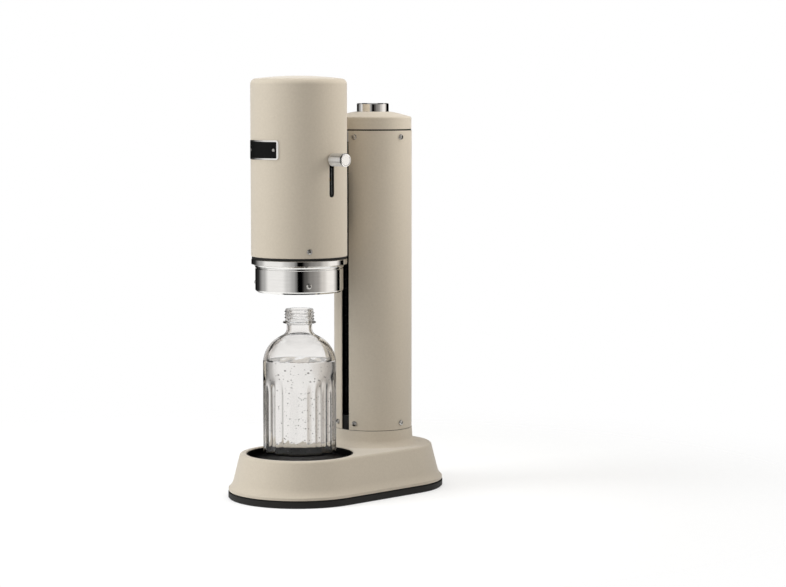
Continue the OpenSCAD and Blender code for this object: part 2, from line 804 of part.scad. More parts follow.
module skirt_screws() {
  color(steel) at_head() for (a = head_angles) {
    radial(a, skirt_r + 0.02, skirt_z0 + 10.3) dome_screw(3.4, 3.6, 1.5, 4);
  }
}

// A curved slab on the head's front: a rounded rectangle taken out of a tube
module badge_slab(w, h, corner, r0, r1) {
  at_head() rotate([0, 0, badge_aim]) intersection() {
    tube(r1, r0, badge_z - h, badge_z + h);
    translate([0, 0, badge_z]) rotate([90, 0, 0]) linear_extrude(head_r + 10) {
      square([w - 2 * corner, h], center = true);
      square([w, h - 2 * corner], center = true);
      for (sx = [-1, 1], sy = [-1, 1]) {
        translate([sx * (w / 2 - corner), sy * (h / 2 - corner)]) circle(corner);
      }
    }
  }
}

module badge_plate() {
  color(steel) difference() {
    badge_slab(badge_w, badge_h, 2.5, head_r + 0.02, head_r + 1.2);
    at_head() for (a = badge_angles) {
      radial(a, head_r - 5, badge_z) cylinder(r = 1.3, h = 10);
    }
  }
}

module badge_field() {
  color(black) difference() {
    badge_slab(badge_w - 3.6, badge_h - 3.6, 1.2, head_r + 1.23, head_r + 1.4);
    at_head() for (a = badge_angles) {
      radial(a, head_r - 5, badge_z) cylinder(r = 1.3, h = 10);
    }
  }
}

module badge_screws() {
  color(steel) at_head() for (a = badge_angles) {
    radial(a, head_r + 1.42, badge_z) dome_screw(1.9, 0.9, 1.1, 2.6);
  }
}

module head_frame() {
  leg_r = head_in - 3.4;
  color(alu) difference() {
    union() {
      at_head() disc(head_in - part_gap, frame_z0, frame_z0 + frame_t);
      intersection() {
        at_head() tube(head_in - part_gap, leg_r, arm_z0, frame_z0 + 1);
        translate([-saddle_w / 2, head_y + 30, arm_z0]) cube([saddle_w, 40, frame_z0 + 1 - arm_z0]);
      }
    }
    at_head() disc(block_r + part_gap, frame_z0 - 1, frame_z0 + frame_t + 1);
    translate([plunger_tip - 8, head_y - wedge_w / 2 - 0.6, frame_z0 - 1])
      cube([slider_x1 - plunger_tip + 8, wedge_w + 1.2, frame_t + 2]);
    for (s = [-1, 1]) {
      translate([guide_x, head_y + s * guide_y, 0]) disc(guide_r + 0.05, frame_z0 - 1, frame_z0 + 2);
    }
    translate([0, head_y + leg_r - 6, 0]) disc(2.6, frame_z0 - 1, frame_z0 + frame_t + 1);
    translate([0, head_y, gas_z]) rotate([-90, 0, 0]) cylinder(r = 2.6, h = head_r);
    arm_holes(head_r) cylinder(r = 1.8 + screw_fit, h = 30, center = true);
  }
}

module valve_block() {
  color(brass) at_head() difference() {
    union() {
      disc(block_r, block_z0, block_z1);
      disc(block_r + block_flange, frame_z0 + frame_t, frame_z0 + frame_t + block_flange_t);
    }
    disc(nozzle_r + 0.05, block_z0 - 1, nozzle_z1 + 0.1);
    disc(1.5, nozzle_z1, plunger_z);
    translate([1, 0, plunger_z]) rotate([0, 90, 0]) cylinder(r = plunger_r + run_fit, h = block_r + 5);
    translate([0, 0, feed_z]) rotate([-90, 0, 0]) cylinder(r = feed_r + 0.05, h = block_r + 5);
    translate([-9, 0, 0]) disc(3.05, block_z1 - 6, block_z1 + 1);
  }
}

module bottle_seal() {
  color(rubber) at_head() difference() {
    rotate_extrude() polygon([
      [0, seal_z - 11], [8.8, seal_z - 11], [10.2, seal_z - 2], [10.4, seal_z], [finish_r + 0.6, seal_z],
      [finish_r + 0.6, block_z0], [0, block_z0]
    ]);
    disc(nozzle_r + 0.05, seal_z - 12, block_z0 + 1);
  }
}

module nozzle_tube() {
  color(steel) at_head() rotate_extrude() polygon([
    [1, nozzle_z0], [2, nozzle_z0], [nozzle_r, nozzle_z0 + 5], [nozzle_r, nozzle_z1], [2, nozzle_z1],
    [2, nozzle_z0 + 8], [1, nozzle_z0 + 6]
  ]);
}

module gas_feed_tube() {
  low_y = feed_y + feed_bend;
  high_y = feed_y - feed_bend;
  color(brass) at_head() {
    translate([0, low_y, gas_z]) rotate([-90, 0, 0]) cylinder(r = feed_r, h = head_r - low_y);
    translate([0, low_y, gas_z + feed_bend]) rotate([0, 0, 90]) rotate([90, 0, 0]) rotate([0, 0, 180])
      rotate_extrude(angle = 90) translate([feed_bend, 0]) circle(feed_r);
    translate([0, feed_y, 0]) disc(feed_r, gas_z + feed_bend, feed_z - feed_bend);
    translate([0, high_y, feed_z - feed_bend]) rotate([0, 0, 90]) rotate([90, 0, 0])
      rotate_extrude(angle = 90) translate([feed_bend, 0]) circle(feed_r);
    translate([0, high_y, feed_z]) rotate([90, 0, 0]) cylinder(r = feed_r, h = high_y - block_r + 6);
  }
}

module relief_valve() {
  color(brass) at_head() translate([-9, 0, 0]) {
    disc(3, block_z1 - 5.9, block_z1);
    disc(6, block_z1, block_z1 + 5, $fn = 6);
    disc(4.5, block_z1 + 5, block_z1 + 15);
  }
}

module lever_guides() {
  color(steel) at_head() for (s = [-1, 1]) {
    translate([guide_x, s * guide_y, 0]) disc(guide_r, liner_z1 - 1.9, frame_z0 + 1.9);
  }
}

module lever_springs() {
  z0 = lever_z + slider_h / 2;
  color(steel) at_head() for (s = [-1, 1]) {
    translate([guide_x, s * guide_y, z0]) coil(guide_r + 1, 0.4, 8, frame_z0 - z0);
  }
}

module valve_spring() {
  color(steel) at_head() translate([block_r, 0, plunger_z]) rotate([0, 90, 0])
    coil(5.2, 0.45, 4, plunger_tip - 7 - block_r);
}

module valve_plunger() {
  color(steel) at_head() translate([0, 0, plunger_z]) rotate([0, 90, 0]) rotate_extrude() polygon([
    [0, 8], [plunger_r, 8], [plunger_r, plunger_tip - 7],
    [plunger_collar, plunger_tip - 7], [plunger_collar, plunger_tip - 4.5],
    [3.4, plunger_tip - 4.5], [3.2, plunger_tip - 1.5], [2, plunger_tip - 0.3], [0, plunger_tip]
  ]);
}

module lever_knob() {
  x = knob_len;
  groove_z = x - 5.2;
  groove_r = knob_r - 1.6;
  color(steel) at_head() translate([knob_x0, 0, lever_z]) rotate([0, 90, 0]) difference() {
    rotate_extrude() polygon([
      [0, 0], [knob_r - 1.2, 0], [knob_r - 0.3, 0.9], [knob_r - 0.3, groove_z - 0.3],
      [knob_r - 0.6, groove_z], [groove_r, groove_z], [groove_r, groove_z + 1.3],
      [knob_r - 0.4, groove_z + 1.3], [knob_r, groove_z + 1.7], [knob_r, x - 1],
      [knob_r - 1, x], [knob_r - 1.6, x],
      [knob_r - 2, x - 0.5], [0, x - 0.5]
    ]);
    translate([0, 0, -1]) cylinder(r = stem_r + 0.03, h = 6.1);
  }
}

module lever_stem() {
  color(steel) at_head() translate([slider_x0 + 2, 0, lever_z]) rotate([0, 90, 0])
    cylinder(r = stem_r, h = knob_x0 + 5 - slider_x0 - 2);
}

module lever_slider() {
  bar_x1 = slider_x1 - 2;
  bar_z1 = plunger_z + lever_travel + 4;
  face = plunger_tip + wedge_gap;
  z0 = lever_z - slider_h / 2;
  color(alu) at_head() difference() {
    union() {
      translate([slider_x0, -slider_w / 2, z0]) cube([slider_x1 - slider_x0, slider_w, slider_h]);
      rotate([90, 0, 0]) linear_extrude(wedge_w, center = true) polygon([
        [slider_x0 + 0.5, z0 + slider_h - 4], [bar_x1, z0 + slider_h - 4], [bar_x1, bar_z1],
        [face - (lever_travel + 4) * wedge_slope, bar_z1], [face + 6 * wedge_slope, plunger_z - 6],
        [slider_x0 + 0.5, plunger_z - 14]
      ]);
    }
    for (s = [-1, 1]) {
      translate([guide_x, s * guide_y, 0]) disc(guide_r + run_fit, z0 - 1, z0 + slider_h + 1);
    }
    translate([slider_x0 + 1.9, 0, lever_z]) rotate([0, 90, 0]) cylinder(r = stem_r + 0.03, h = 20);
  }
}

module glass_bottle() {
  body_c = bottle_r - shoulder_r;
  end_r = body_c + shoulder_r * cos(shoulder_sweep);
  end_z = shoulder_z + shoulder_r * sin(shoulder_sweep);
  fillet_c = neck_r + neck_fillet;
  fillet_r = fillet_c - neck_fillet * cos(shoulder_sweep);
  fillet_z = end_z + (end_r - fillet_r) / tan(shoulder_sweep) + neck_fillet * sin(shoulder_sweep);
  inner_r = bottle_r - glass_t;
  inner_fillet = fillet_c - mouth_r;
  outer = concat(
    [[0, bottle_z0]],
    arc([bottle_r - heel_r, bottle_z0 + heel_r], heel_r, -90, 0, 6),
    arc([body_c, shoulder_z], shoulder_r, 0, shoulder_sweep, 12),
    arc([fillet_c, fillet_z], neck_fillet, 180 + shoulder_sweep, 180, 6),
    [[neck_r, bead_z - 2.2], [bead_r - 1, bead_z - 1.6], [bead_r, bead_z - 0.3], [bead_r - 0.6, bead_z + 1.1],
      [finish_r, bead_z + 1.8], [finish_r, bottle_top - 1.2], [finish_r - 1.2, bottle_top],
      [mouth_r + 1.2, bottle_top], [mouth_r, bottle_top - 1.2]]
  );
  inner = concat(
    arc([fillet_c, fillet_z], inner_fillet, 180, 180 + shoulder_sweep, 6),
    arc([body_c, shoulder_z], shoulder_r - glass_t, shoulder_sweep, 0, 9),
    arc([inner_r - heel_r, bottle_z0 + foot_glass + heel_r], heel_r, 0, -90, 6),
    [[0, bottle_z0 + foot_glass]]
  );
  half = 180 / flute_count * 0.93;
  bite = bottle_r * cos(half) - bottle_r + flute_depth;
  flute_r = (bite * bite + pow(bottle_r * sin(half), 2)) / (2 * bite);
  rim = flute_r - flute_depth - 0.4;
  function run_out(t) = rim + (flute_r - rim) * sin(90 * t);
  spread = asin(bottle_r * sin(half) / flute_r) + 0.6;
  color(clear) at_head() difference() {
    rotate_extrude() polygon(concat(outer, inner));
    for (i = [0:flute_count - 1]) {
      rotate([0, 0, 360 * (i + 0.25) / flute_count]) translate([flute_r + bottle_r - flute_depth, 0, 0])
        rotate([0, 0, 180 - spread]) rotate_extrude(angle = 2 * spread) polygon([
          [0, flute_z0],
          each [for (t = [0:0.25:1]) [run_out(t), flute_z0 + flute_foot * t]],
          each [for (t = [1:-0.2:0]) [run_out(t), flute_z1 - flute_head * t]],
          [0, flute_z1]
        ]);
    }
  }
}

base_casting();
foot_ring();
base_plate();
base_screws();
drip_tray();
column_shell();
column_screws();
lower_ring();
top_plate();
guide_rods();
column_cap();
cap_gasket();
gas_cylinder();
cylinder_valve();
valve_socket();
gas_hose();
lift_springs();
latch_post();
latch_spring();
button_spring();
release_button();
button_bridge();
release_rod();
latch_bolt();
carriage_block();
carriage_bushes();
carriage_arm();
arm_screws();
head_shell();
polished_collar();
polished_skirt();
chamber_liner();
guide_ring();
head_gasket();
head_screws();
skirt_screws();
badge_plate();
badge_field();
badge_screws();
head_frame();
valve_block();
bottle_seal();
nozzle_tube();
gas_feed_tube();
relief_valve();
lever_guides();
lever_springs();
valve_spring();
valve_plunger();
lever_knob();
lever_stem();
lever_slider();
glass_bottle();
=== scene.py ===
import bmesh
import bpy
import json
import math
import random
from mathutils import Matrix, Vector


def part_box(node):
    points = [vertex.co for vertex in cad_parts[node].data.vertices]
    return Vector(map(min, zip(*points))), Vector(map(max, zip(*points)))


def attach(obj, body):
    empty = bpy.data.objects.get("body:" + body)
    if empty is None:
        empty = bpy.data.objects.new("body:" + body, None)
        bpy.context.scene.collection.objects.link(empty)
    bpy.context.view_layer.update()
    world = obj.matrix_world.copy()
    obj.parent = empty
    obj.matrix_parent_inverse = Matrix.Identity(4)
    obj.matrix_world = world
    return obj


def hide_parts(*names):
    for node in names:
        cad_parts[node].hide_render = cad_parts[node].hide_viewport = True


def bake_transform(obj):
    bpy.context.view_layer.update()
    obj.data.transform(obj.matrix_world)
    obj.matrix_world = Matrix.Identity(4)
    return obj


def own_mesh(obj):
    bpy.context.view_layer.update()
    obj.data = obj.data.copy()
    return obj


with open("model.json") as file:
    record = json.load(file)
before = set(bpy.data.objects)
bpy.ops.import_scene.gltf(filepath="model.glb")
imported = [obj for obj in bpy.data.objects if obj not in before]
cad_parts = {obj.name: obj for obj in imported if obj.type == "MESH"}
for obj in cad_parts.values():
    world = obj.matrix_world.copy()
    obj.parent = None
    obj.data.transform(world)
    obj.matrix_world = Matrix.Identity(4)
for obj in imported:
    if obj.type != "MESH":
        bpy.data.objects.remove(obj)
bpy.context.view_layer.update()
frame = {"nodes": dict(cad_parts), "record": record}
nodes = frame["nodes"]
scene = bpy.context.scene
scene.view_settings.view_transform = "Standard"

MM = 0.001

# The upright axes of the head, with the bottle under it, and of the column, in millimetres and as points
AXIS_GAP = 124
HEAD_Y, COLUMN_Y = -AXIS_GAP / 2, AXIS_GAP / 2
HEAD = Vector((0, HEAD_Y * MM, 0))
COLUMN = Vector((0, COLUMN_Y * MM, 0))

# The camera that was fitted to the photo: turns in degrees, places in metres, the focal length in pixels
VIEW_TURN = 47.628
VIEW_AIM = 45.287
VIEW_TILT = 4.943
VIEW_REACH = 2.7712
VIEW_HEIGHT = 0.4874
FOCAL_PIXELS = 2300
PHOTO_WIDE = 786
SENSOR_WIDE = 36

# The set, in metres: reach and heights of the cards that metal and glass show, and of the floor
CARD_STEPS = 96
METAL_REACH, SHOULDER_REACH, GLASS_REACH = 2.4, 2.85, 2.9
CARD_TOP = 2.2
PIT = -0.8
GLASS_SPLIT, GLASS_PIT = -0.38, -1.4
BAND_LOW, BAND_HIGH = 0.64, 1.14
FLOOR_REACH = 1.6
FADE_START, FADE_END = 0.34, 0.8


# Camera, cards, lamps and floor

def around(turn, reach, height):
    """A point at a turn, in degrees, to the right of the photo camera's line."""
    a = math.radians(VIEW_TURN + turn)
    return Vector((math.sin(a) * reach, -math.cos(a) * reach, height))


def set_camera():
    """The photo's own view: its place round the head, its height, and no shift."""
    data = bpy.data.cameras.new("photo_camera")
    data.sensor_width = SENSOR_WIDE
    data.lens = FOCAL_PIXELS / PHOTO_WIDE * SENSOR_WIDE
    data.clip_end = 100
    camera = bpy.data.objects.new("photo_camera", data)
    scene.collection.objects.link(camera)
    camera.location = HEAD + around(0, VIEW_REACH, VIEW_HEIGHT)
    camera.rotation_euler = (math.pi / 2 - math.radians(VIEW_TILT), 0, math.radians(VIEW_AIM))
    scene.camera = camera


def soft_lamp(name, turn, reach, height, wide, high, watts, warmth=(1, 1, 1), aim=0.24, spread=180):
    """A soft box that faces a height on the middle of the set, and shows in no polished face or glass."""
    data = bpy.data.lights.new(name, "AREA")
    data.shape = "RECTANGLE"
    data.size, data.size_y = wide, high
    data.energy = watts
    data.color = warmth
    data.spread = math.radians(spread)
    lamp = bpy.data.objects.new(name, data)
    scene.collection.objects.link(lamp)
    lamp.location = around(turn, reach, height)
    lamp.rotation_euler = (Vector((0, 0, aim)) - lamp.location).to_track_quat("-Z", "Y").to_euler()
    lamp.visible_glossy = False
    lamp.visible_transmission = False


def show_only(piece, reflected=False, refracted=False):
    """Leaves a piece of the set to be seen only in polished faces or through glass."""
    piece.visible_camera = piece.visible_diffuse = piece.visible_shadow = False
    piece.visible_glossy = reflected
    piece.visible_transmission = refracted


def add_object(bm, name):
    """Puts a finished shape in the scene, in the place that it was modelled in."""
    mesh = bpy.data.meshes.new(name)
    bm.to_mesh(mesh)
    bm.free()
    made = bpy.data.objects.new(name, mesh)
    scene.collection.objects.link(made)
    return made


def bare_tree(owner):
    """The emptied node tree of a material or of the world."""
    owner.use_nodes = True
    owner.node_tree.nodes.clear()
    return owner.node_tree


def math_step(tree, operation, first, second):
    """A math node on two values, each of them a socket or a number."""
    step = tree.nodes.new("ShaderNodeMath")
    step.operation = operation
    for value, socket in zip((first, second), step.inputs):
        if isinstance(value, (int, float)):
            socket.default_value = value
        else:
            tree.links.new(value, socket)
    return step.outputs["Value"]


def round_sheet(name, reach, height):
    """A level round sheet in the middle of the set."""
    bm = bmesh.new()
    bmesh.ops.create_circle(bm, cap_ends=True, segments=CARD_STEPS, radius=reach)
    bmesh.ops.translate(bm, vec=(0, 0, height), verts=bm.verts)
    return add_object(bm, name)


def graded_wall(name, reach, low, high, stops):
    """A curved wall round the set. Each stop is a turn from the camera's line, a tone and a warmth."""
    bm = bmesh.new()
    made = bmesh.ops.create_circle(bm, segments=CARD_STEPS, radius=reach)
    bmesh.ops.translate(bm, vec=(0, 0, low), verts=made["verts"])
    up = (0, 0, high - low)
    bmesh.ops.spin(bm, geom=bm.verts[:] + bm.edges[:], axis=(0, 0, 1), dvec=up, angle=0, steps=1)
    wall = add_object(bm, name)
    mat = bpy.data.materials.new(name)
    tree = bare_tree(mat)
    coord = tree.nodes.new("ShaderNodeTexCoord")
    place = tree.nodes.new("ShaderNodeMapping")
    place.inputs["Rotation"].default_value = (0, 0, math.radians(90 - VIEW_TURN))
    sweep = tree.nodes.new("ShaderNodeTexGradient")
    sweep.gradient_type = "RADIAL"
    ramp = tree.nodes.new("ShaderNodeValToRGB")
    ramp.color_ramp.interpolation = "EASE"
    marks = ramp.color_ramp.elements
    while len(marks) < len(stops):
        marks.new(0.5)
    for mark, (turn, tone, warm) in zip(marks, stops):
        mark.position = 0.5 + turn / 360
        mark.color = (tone, tone * (1 - warm / 2), tone * (1 - warm), 1)
    glow = tree.nodes.new("ShaderNodeEmission")
    out = tree.nodes.new("ShaderNodeOutputMaterial")
    tree.links.new(coord.outputs["Object"], place.inputs["Vector"])
    tree.links.new(place.outputs["Vector"], sweep.inputs["Vector"])
    tree.links.new(sweep.outputs["Fac"], ramp.inputs["Fac"])
    tree.links.new(ramp.outputs["Color"], glow.inputs["Color"])
    tree.links.new(glow.outputs[0], out.inputs["Surface"])
    wall.data.materials.append(mat)
    return wall


def set_walls():
    """The walls that metal and glass show, with the photo's bands where its own camera sees them."""
    in_metal = (
        (-180, 0.4, 0.05), (-169, 0.4, 0.05), (-160, 0, 0), (-132, 0.03, 0.02), (-103, 0.46, 0.02),
        (-84, 0.96, 0.02), (-46, 0.96, 0.02), (-30, 0.66, 0.02), (-15, 0.42, 0.02), (-8, 0.2, 0.02),
        (-4, 0, 0), (5, 0, 0), (15, 0.1, 0.09), (30, 0.25, 0.09), (46, 0.35, 0.09), (63, 0.68, 0.09),
        (81, 1, 0.07), (98, 1, 0.07), (104, 0.75, 0.09), (112, 0.3, 0.09), (118, 0, 0), (160, 0, 0),
        (169, 0.4, 0.05), (180, 0.4, 0.05),
    )
    show_only(graded_wall("metal_wall", METAL_REACH, PIT, CARD_TOP, in_metal), reflected=True)

    in_glass = (
        (-180, 0.93, 0.05), (-173, 0.91, 0.05), (-165, 0.75, 0.1), (-160, 0.63, 0.14), (-154, 0.5, 0.17),
        (-149, 0.38, 0.17), (-143, 0.4, 0.16), (-139, 0.3, 0.1), (-137, 0.04, 0), (-125, 0.04, 0),
        (-120, 0.5, 0.06), (-104, 0.55, 0.06), (-92, 0.85, 0.05), (-75, 0.85, 0.05), (-64, 0.5, 0.06),
        (-36, 0.5, 0.06), (-22, 0.85, 0.05), (22, 0.85, 0.05), (36, 0.5, 0.06), (64, 0.5, 0.06),
        (75, 0.85, 0.05), (92, 0.85, 0.05), (104, 0.45, 0.06), (120, 0.35, 0.06), (128, 0.05, 0),
        (136, 0.12, 0.06), (144, 0.3, 0.08), (151, 0.5, 0.08), (158, 0.82, 0.06), (163, 0.93, 0.05),
        (180, 0.93, 0.05),
    )
    show_only(graded_wall("glass_wall", GLASS_REACH, GLASS_SPLIT, CARD_TOP, in_glass), refracted=True)

    pale, grey = (0.88, 0.05), (0.35, 0.06)
    from_above = [(-180, *pale), (-170, *pale)]
    for turn in range(-155, 180, 45):
        from_above += [(turn - 5, *grey), (turn + 5, *grey), (turn + 14, *pale)]
    from_above.append((180, *pale))
    low_wall = graded_wall("low_glass_wall", GLASS_REACH, GLASS_PIT, GLASS_SPLIT, from_above)
    show_only(low_wall, refracted=True)

    in_shoulder = (
        (-180, 1, 0.05), (-169, 1, 0.05), (-166, 0.03, 0), (-141, 0.03, 0), (-137, 0.85, 0.06),
        (-102, 0.85, 0.06), (-92, 0.85, 0.05), (-70, 0.85, 0.05), (-60, 0.3, 0.06), (-40, 0.3, 0.06),
        (-25, 0.88, 0.05), (25, 0.88, 0.05), (40, 0.3, 0.06), (60, 0.3, 0.06), (70, 0.85, 0.05),
        (92, 0.85, 0.05), (102, 0.85, 0.06), (137, 0.85, 0.06), (141, 0.03, 0), (166, 0.03, 0),
        (169, 1, 0.05), (180, 1, 0.05),
    )
    shoulder_wall = graded_wall("shoulder_wall", SHOULDER_REACH, BAND_LOW, BAND_HIGH, in_shoulder)
    show_only(shoulder_wall, refracted=True)


def flat_card(name, reach, height, tone):
    """A level round card of an even tone, over or under the set, seen only in polished faces."""
    card = round_sheet(name, reach, height)
    mat = bpy.data.materials.new(name)
    tree = bare_tree(mat)
    glow = tree.nodes.new("ShaderNodeEmission")
    glow.inputs["Color"].default_value = (tone, tone, tone, 1)
    out = tree.nodes.new("ShaderNodeOutputMaterial")
    tree.links.new(glow.outputs[0], out.inputs["Surface"])
    card.data.materials.append(mat)
    show_only(card, reflected=True)


def seen_directly(tree):
    """1 for rays from the camera, through glass and off metal."""
    path = tree.nodes.new("ShaderNodeLightPath")
    straight = math_step(tree, "MAXIMUM", path.outputs["Is Camera Ray"], path.outputs["Is Transmission Ray"])
    return math_step(tree, "MAXIMUM", straight, path.outputs["Is Glossy Ray"])


def white_room(ambient):
    """A world that is plain white where it is seen, and lights the object at a lower level."""
    world = bpy.data.worlds.new("white_room")
    scene.world = world
    tree = bare_tree(world)
    fill = tree.nodes.new("ShaderNodeBackground")
    fill.inputs["Color"].default_value = (1, 0.985, 0.96, 1)
    fill.inputs["Strength"].default_value = ambient
    white = tree.nodes.new("ShaderNodeBackground")
    white.inputs["Color"].default_value = (1, 1, 1, 1)
    white.inputs["Strength"].default_value = 1
    mix = tree.nodes.new("ShaderNodeMixShader")
    out = tree.nodes.new("ShaderNodeOutputWorld")
    tree.links.new(seen_directly(tree), mix.inputs[0])
    tree.links.new(fill.outputs[0], mix.inputs[1])
    tree.links.new(white.outputs[0], mix.inputs[2])
    tree.links.new(mix.outputs[0], out.inputs["Surface"])


def pale_floor(lift):
    """A pale floor that fades into the white room, and keeps the shadow."""
    floor = round_sheet("floor", FLOOR_REACH, 0)
    mat = bpy.data.materials.new("floor_white")
    tree = bare_tree(mat)
    paper = tree.nodes.new("ShaderNodeBsdfDiffuse")
    paper.inputs["Color"].default_value = (0.55, 0.55, 0.547, 1)
    glow = tree.nodes.new("ShaderNodeEmission")
    glow.inputs["Color"].default_value = (1, 1, 1, 1)
    tree.links.new(math_step(tree, "MULTIPLY", seen_directly(tree), lift), glow.inputs["Strength"])
    lit = tree.nodes.new("ShaderNodeAddShader")
    tree.links.new(paper.outputs[0], lit.inputs[0])
    tree.links.new(glow.outputs[0], lit.inputs[1])
    place = tree.nodes.new("ShaderNodeTexCoord")
    away = tree.nodes.new("ShaderNodeVectorMath")
    away.operation = "LENGTH"
    fade = tree.nodes.new("ShaderNodeMapRange")
    fade.interpolation_type = "SMOOTHSTEP"
    fade.inputs["From Min"].default_value = FADE_START
    fade.inputs["From Max"].default_value = FADE_END
    tree.links.new(place.outputs["Object"], away.inputs[0])
    tree.links.new(away.outputs["Value"], fade.inputs["Value"])
    clear = tree.nodes.new("ShaderNodeBsdfTransparent")
    mix = tree.nodes.new("ShaderNodeMixShader")
    out = tree.nodes.new("ShaderNodeOutputMaterial")
    tree.links.new(fade.outputs["Result"], mix.inputs[0])
    tree.links.new(lit.outputs[0], mix.inputs[1])
    tree.links.new(clear.outputs[0], mix.inputs[2])
    tree.links.new(mix.outputs[0], out.inputs["Surface"])
    floor.data.materials.append(mat)
    floor.visible_transmission = False


set_camera()
white_room(ambient=0.6)
pale_floor(lift=0.45)
soft_lamp("left_box", turn=-76, reach=1.7, height=0.95, wide=1.0, high=1.5, watts=24, warmth=(0.94, 0.97, 1))
soft_lamp("right_box", turn=96, reach=0.75, height=0.8, wide=0.4, high=0.6, watts=1.05,
          warmth=(1, 0.98, 0.95), aim=0.54, spread=70)
soft_lamp("top_box", turn=0, reach=0.25, height=2.1, wide=1.2, high=1.2, watts=12)
set_walls()
flat_card("dark_lid", METAL_REACH, CARD_TOP, tone=0)
flat_card("ceiling_card", reach=1.5, height=CARD_TOP - 0.01, tone=0.35)
flat_card("dark_pit", METAL_REACH, PIT, tone=0)


# Finishes

# The part of a noise's range that holds most of it
GRAIN_SPAN = (0.3, 0.7)


def new_finish(name):
    """A material with its node tree and its shader."""
    mat = bpy.data.materials.new(name)
    mat.use_nodes = True
    return mat, mat.node_tree, mat.node_tree.nodes["Principled BSDF"]


def place_on_piece(tree, centre=(0, 0, 0), stretch=(1, 1, 1)):
    """The place on the piece itself, from a centre and with the grain stretched along the axes."""
    coord = tree.nodes.new("ShaderNodeTexCoord")
    place = tree.nodes.new("ShaderNodeMapping")
    place.vector_type = "TEXTURE"
    place.inputs["Location"].default_value = centre
    place.inputs["Scale"].default_value = stretch
    tree.links.new(coord.outputs["Object"], place.inputs["Vector"])
    return place.outputs["Vector"]


def grain(tree, where, scale, detail=2, rough=0.5):
    noise = tree.nodes.new("ShaderNodeTexNoise")
    noise.inputs["Scale"].default_value = scale
    noise.inputs["Detail"].default_value = detail
    noise.inputs["Roughness"].default_value = rough
    tree.links.new(where, noise.inputs["Vector"])
    return noise.outputs["Fac"]


def colour_between(tree, bsdf, fac, low, high):
    ramp = tree.nodes.new("ShaderNodeValToRGB")
    marks = ramp.color_ramp.elements
    for mark, position, colour in zip(marks, GRAIN_SPAN, (low, high)):
        mark.position = position
        mark.color = (*colour, 1)
    tree.links.new(fac, ramp.inputs["Fac"])
    tree.links.new(ramp.outputs["Color"], bsdf.inputs["Base Color"])


def roughness_between(tree, bsdf, fac, low, high):
    span = tree.nodes.new("ShaderNodeMapRange")
    span.inputs["From Min"].default_value = GRAIN_SPAN[0]
    span.inputs["From Max"].default_value = GRAIN_SPAN[1]
    span.inputs["To Min"].default_value = low
    span.inputs["To Max"].default_value = high
    tree.links.new(fac, span.inputs["Value"])
    tree.links.new(span.outputs["Result"], bsdf.inputs["Roughness"])


def relief(tree, bsdf, height, strength, depth):
    bump = tree.nodes.new("ShaderNodeBump")
    bump.inputs["Strength"].default_value = strength
    bump.inputs["Distance"].default_value = depth
    tree.links.new(height, bump.inputs["Height"])
    tree.links.new(bump.outputs["Normal"], bsdf.inputs["Normal"])


def sand_paint():
    """The matt paint, with a fine texture."""
    mat, tree, bsdf = new_finish("sand_paint")
    where = place_on_piece(tree)
    tint = grain(tree, where, scale=420, detail=3)
    colour_between(tree, bsdf, tint, (0.52, 0.456, 0.364), (0.55, 0.484, 0.388))
    roughness_between(tree, bsdf, grain(tree, where, scale=900), 0.52, 0.66)
    relief(tree, bsdf, grain(tree, where, scale=1300, detail=3, rough=0.6), strength=0.35, depth=0.00012)
    bsdf.inputs["Specular IOR Level"].default_value = 0.5
    bsdf.inputs["Sheen Weight"].default_value = 0.32
    bsdf.inputs["Sheen Roughness"].default_value = 0.45
    return mat


def coat_with_painted_shade_inside(name, axis, inside, top):
    """Paint outside, and black painted shade inside a radius from an upright axis, up to a height."""
    mat = sand_paint()
    mat.name = name
    tree = mat.node_tree
    bsdf = tree.nodes["Principled BSDF"]
    where = place_on_piece(tree, axis)
    level = tree.nodes.new("ShaderNodeVectorMath")
    level.operation = "MULTIPLY"
    level.inputs[1].default_value = (1, 1, 0)
    away = tree.nodes.new("ShaderNodeVectorMath")
    away.operation = "LENGTH"
    split = tree.nodes.new("ShaderNodeSeparateXYZ")
    tree.links.new(where, level.inputs[0])
    tree.links.new(level.outputs["Vector"], away.inputs[0])
    tree.links.new(where, split.inputs[0])
    outer = math_step(tree, "GREATER_THAN", away.outputs["Value"], inside)
    upper = math_step(tree, "GREATER_THAN", split.outputs["Z"], top)
    mix = tree.nodes.new("ShaderNodeMix")
    mix.data_type = "RGBA"
    # This black is painted shade, for the dark inside of the shell
    mix.inputs["A"].default_value = (0.006, 0.006, 0.006, 1)
    tree.links.new(math_step(tree, "MAXIMUM", outer, upper), mix.inputs["Factor"])
    tree.links.new(bsdf.inputs["Base Color"].links[0].from_socket, mix.inputs["B"])
    tree.links.new(mix.outputs["Result"], bsdf.inputs["Base Color"])
    return mat


def metal(name, low, high, smooth, dull, scale, stretch=(1, 1, 1), depth=0.0):
    """Bare metal whose tint and shine vary between two values with a grain."""
    mat, tree, bsdf = new_finish(name)
    where = place_on_piece(tree, stretch=stretch)
    streak = grain(tree, where, scale, detail=3)
    colour_between(tree, bsdf, streak, low, high)
    roughness_between(tree, bsdf, streak, smooth, dull)
    bsdf.inputs["Metallic"].default_value = 1
    if depth:
        relief(tree, bsdf, streak, strength=0.3, depth=depth)
    return mat


def turned_metal(name, low, high, smooth, dull, axis):
    """Metal with the fine rings that a lathe leaves round an axis, which spread its shine along that axis."""
    ring_grain = [1 if letter == axis else 50 for letter in "XYZ"]
    mat = metal(name, low, high, smooth, dull, scale=900, stretch=ring_grain)
    tree = mat.node_tree
    bsdf = tree.nodes["Principled BSDF"]
    rings = tree.nodes.new("ShaderNodeTangent")
    rings.direction_type = "RADIAL"
    rings.axis = axis
    bsdf.inputs["Anisotropic"].default_value = 0.95
    bsdf.inputs["Anisotropic Rotation"].default_value = 0.25
    tree.links.new(rings.outputs["Tangent"], bsdf.inputs["Tangent"])
    return mat


